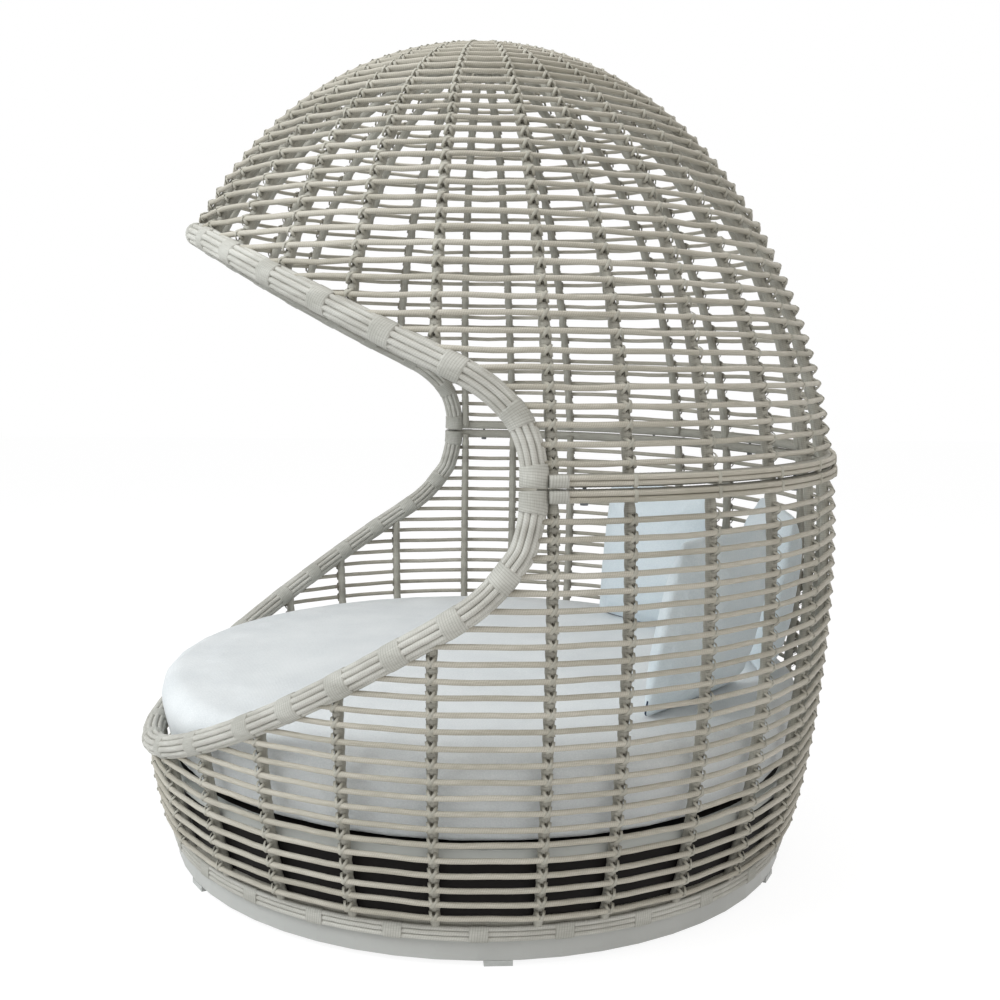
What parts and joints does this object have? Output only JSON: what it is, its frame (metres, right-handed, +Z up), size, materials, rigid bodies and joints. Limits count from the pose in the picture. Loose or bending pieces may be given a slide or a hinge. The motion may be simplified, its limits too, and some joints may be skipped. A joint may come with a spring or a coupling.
{
  "type": "outdoor daybed with canopy",
  "caption": "Round woven outdoor daybed: open basket on a low band base, bolted half-dome canopy, thick round mattress and loose square pillows.",
  "frame": {"origin": "on the floor, under the middle of the whole daybed", "axes": "+Z up, -Y out of the open front, +X to the sitter's left as they face out"},
  "size_m": [1.7922, 1.7552, 2],
  "materials": {
    "painted_aluminium": "powder coated, warm grey",
    "wicker": "round synthetic wicker rod, fine grain, sand grey",
    "wicker_light": "round synthetic wicker rod bound with flat strip, pale sand grey",
    "board": "dark sheet board",
    "glide_rubber": "pale grey moulded pad",
    "bolt_steel": "plain stainless bolt",
    "mattress_fabric": "pale grey outdoor cloth, plainly sewn",
    "pillow_fabric": "pale blue-grey outdoor cloth with a dark blue seam"
  },
  "bodies": {
    "daybed": {"plinth_band": "painted_aluminium", "basket_frame": "painted_aluminium", "canopy_frame": "painted_aluminium", "basket_rim_rods": "wicker_light", "canopy_rim_rods": "wicker_light", "basket_waist_rods": "wicker", "canopy_waist_rods": "wicker", "base_rods": "wicker", "basket_weave": "wicker", "canopy_weave": "wicker", "crown_cap": "wicker", "deck_ring": "painted_aluminium", "deck_skirt": "board", "deck_board_right": "board", "deck_board_left": "board", "deck_beam_1": "painted_aluminium", "deck_beam_2": "painted_aluminium", "deck_beam_3": "painted_aluminium", "foot_glide_1": "glide_rubber", "foot_glide_2": "glide_rubber", "foot_glide_3": "glide_rubber", "foot_glide_4": "glide_rubber", "foot_glide_5": "glide_rubber", "foot_glide_6": "glide_rubber", "waist_bolt_1": "bolt_steel", "waist_bolt_2": "bolt_steel", "waist_bolt_3": "bolt_steel", "waist_bolt_4": "bolt_steel", "waist_bolt_5": "bolt_steel", "waist_bolt_6": "bolt_steel"},
    "mattress": {"mattress": "mattress_fabric"},
    "pillow_right": {"pillow_right": "pillow_fabric"},
    "pillow_middle": {"pillow_middle": "pillow_fabric"},
    "pillow_left": {"pillow_left": "pillow_fabric"}
  },
  "joints": [
    {"name": "mattress_lift", "type": "slide", "parent": "daybed", "child": "mattress", "axis": [0, 0, 1], "range_m": [0, 0.15]},
    {"name": "pillow_right_out", "type": "slide", "parent": "mattress", "child": "pillow_right", "axis": [0, -0.9864, 0.1644], "range_m": [0, 1.62]},
    {"name": "pillow_middle_out", "type": "slide", "parent": "mattress", "child": "pillow_middle", "axis": [0, -0.9864, 0.1644], "range_m": [0, 1.75]},
    {"name": "pillow_left_out", "type": "slide", "parent": "mattress", "child": "pillow_left", "axis": [0, -0.9864, 0.1644], "range_m": [0, 1.65]}
  ]
}
